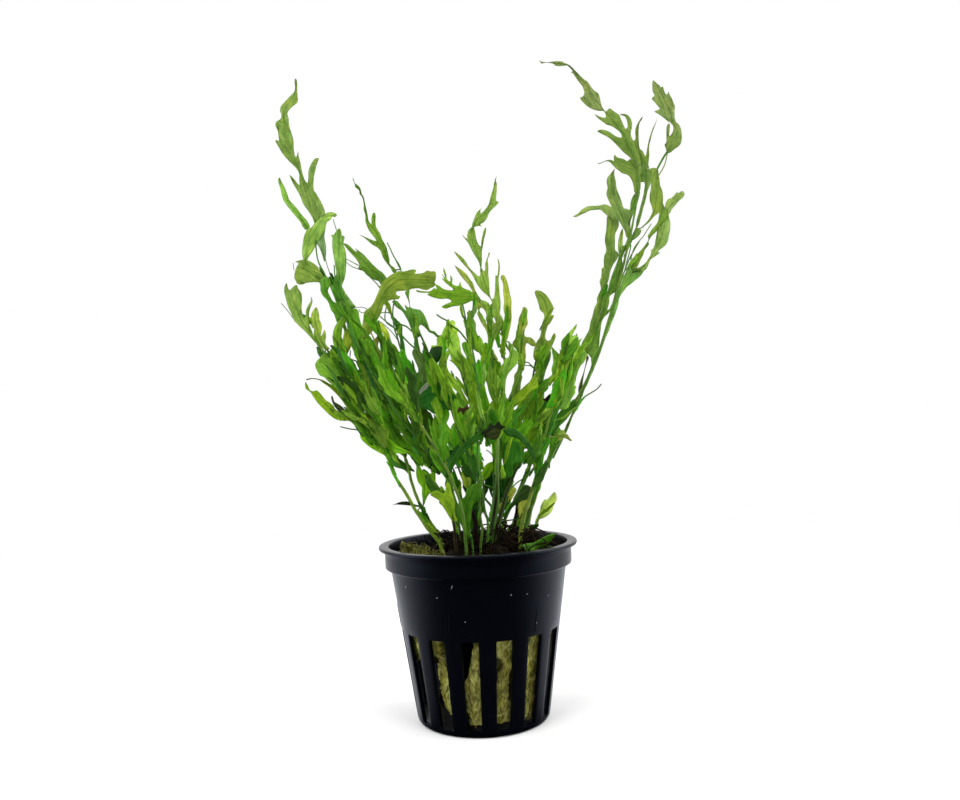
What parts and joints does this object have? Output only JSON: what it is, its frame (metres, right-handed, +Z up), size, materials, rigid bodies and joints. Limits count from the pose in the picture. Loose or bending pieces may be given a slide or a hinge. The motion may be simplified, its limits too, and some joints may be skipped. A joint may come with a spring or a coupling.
{
  "type": "potted african water fern",
  "caption": "African water fern with lobed fronds rising from a creeping rhizome on rock wool in a slotted plastic net pot.",
  "frame": {"origin": "centre of the pot's underside, on the surface it stands on", "axes": "+Z up along the pot axis, -Y towards the pictured side, +X to its right"},
  "size_m": [0.1234, 0.061, 0.2002],
  "materials": {
    "pot_plastic": "near-black satin moulded plastic",
    "wool": "matted olive-yellow mineral fibre",
    "rhizome_bark": "dark scaly rootstock",
    "root_fibre": "wiry dark roots",
    "dead_stem": "blackened dead stem",
    "frond_green": "soft translucent green leaf tissue"
  },
  "bodies": {
    "root": {"pot": "pot_plastic", "rock_wool": "wool", "rhizome": "rhizome_bark", "roots_right": "root_fibre", "roots_left": "root_fibre", "frond_bent_dark": "frond_green", "frond_centre": "frond_green", "frond_centre_arching": "frond_green", "frond_centre_back": "frond_green", "frond_centre_right": "frond_green", "frond_folded": "frond_green", "frond_inner_small": "frond_green", "frond_left_back": "frond_green", "frond_left_inner": "frond_green", "frond_left_low": "frond_green", "frond_left_middle": "frond_green", "frond_left_tall": "frond_green", "frond_left_upright": "frond_green", "frond_low_front": "frond_green", "frond_right_back": "frond_green", "frond_right_inner": "frond_green", "frond_right_near": "frond_green", "frond_right_tall": "frond_green", "frond_small_back": "frond_green", "frond_small_right": "frond_green", "leaf_front_base": "frond_green", "leaf_low_right": "frond_green", "leaf_right_back": "frond_green", "stem_old_brown": "dead_stem", "stem_old_dark": "dead_stem"}
  },
  "joints": []
}
